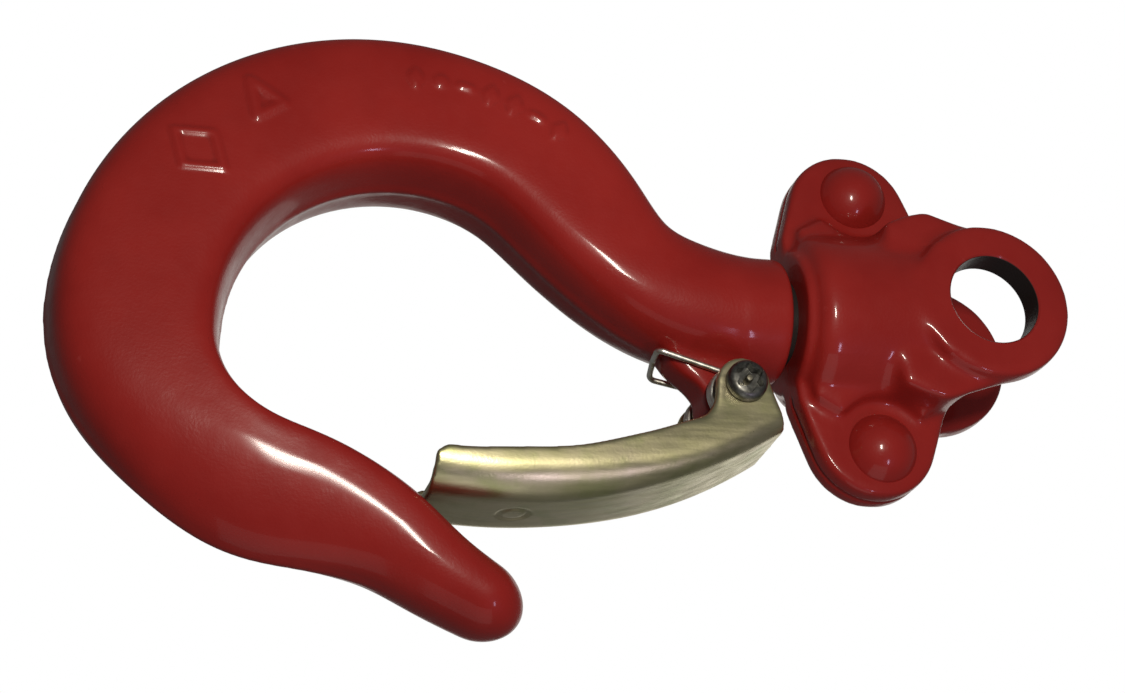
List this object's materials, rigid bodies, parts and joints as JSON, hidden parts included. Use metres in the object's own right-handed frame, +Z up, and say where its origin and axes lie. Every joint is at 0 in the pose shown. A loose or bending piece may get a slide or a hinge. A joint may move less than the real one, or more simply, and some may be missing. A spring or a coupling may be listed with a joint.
{
  "type": "swivel eye hook with latch",
  "caption": "Forged swivel eye hook with a riveted two-part eye yoke and a spring-loaded sheet-metal safety latch, for the end of a hoist chain.",
  "frame": {"origin": "centre of the eye bore that takes the chain pin, midway between the two ears", "axes": "+Z up along the swivel axis from the bowl to the eye, +Y along the eye bore and across the hook's flat faces, +X towards the hook's opening and tip"},
  "size_m": [0.0892, 0.0271, 0.1481],
  "materials": {
    "red_enamel": "gloss enamel over a forged surface",
    "zinc_latch": "yellow chromate zinc plating on pressed sheet",
    "spring_wire": "bright drawn spring wire",
    "dark_steel": "darkened steel fasteners"
  },
  "bodies": {
    "yoke": {"yoke_front": "red_enamel", "yoke_rear": "red_enamel", "rivet_left": "red_enamel", "rivet_right": "red_enamel"},
    "hook": {"hook": "red_enamel", "latch_spring": "spring_wire", "latch_sleeve": "dark_steel", "latch_screw": "dark_steel", "latch_nut": "dark_steel"},
    "latch": {"latch": "zinc_latch"}
  },
  "joints": [
    {"name": "hook_swivel", "type": "hinge", "parent": "yoke", "child": "hook", "pos_m": [0, 0, 0], "axis": [0, 0, 1], "continuous": true},
    {"name": "latch_pivot", "type": "hinge", "parent": "hook", "child": "latch", "pos_m": [0.0143, 0, -0.0393], "axis": [0, 1, 0], "range_deg": [0, 50], "stiffness_Nm_per_rad": 0.15, "springref_deg": -60.16, "deforming": ["latch_spring"]}
  ]
}
